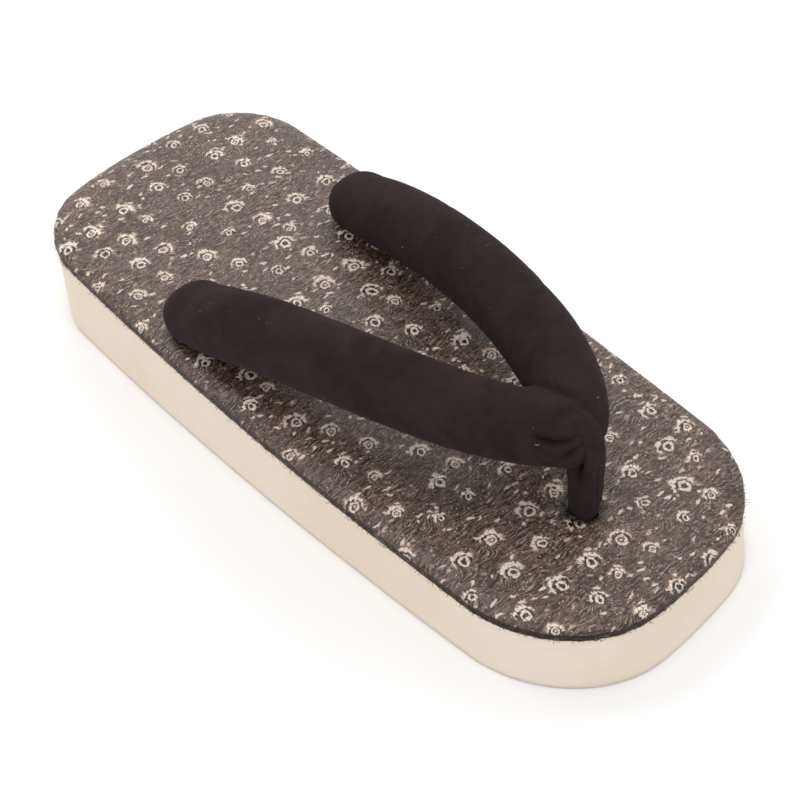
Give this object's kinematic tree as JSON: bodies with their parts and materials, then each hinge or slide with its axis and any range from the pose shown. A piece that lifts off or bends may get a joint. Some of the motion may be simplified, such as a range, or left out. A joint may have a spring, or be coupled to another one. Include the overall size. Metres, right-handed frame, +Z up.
{
  "type": "geta sandal",
  "caption": "Low wooden geta sandal with a padded, patterned footbed cover and a padded V strap tied down by a toe loop.",
  "frame": {"origin": "on the floor, at the middle of the whole sandal's length and width", "axes": "+Y from heel to toe, +X towards the little toe, +Z up"},
  "size_m": [0.1038, 0.254, 0.0638],
  "materials": {
    "pale_wood": "sanded pale wood with a fine straight grain, unvarnished",
    "patterned_cover": "padded leather-look sheet, dark brown-black, glossy and finely wrinkled, printed with small cream rings and flecks",
    "strap_cloth": "matt black-brown velvety cloth over soft padding"
  },
  "bodies": {
    "root": {"wooden_base": "pale_wood", "top_cover": "patterned_cover", "strap_upper": "strap_cloth", "toe_loop": "strap_cloth"}
  },
  "joints": []
}
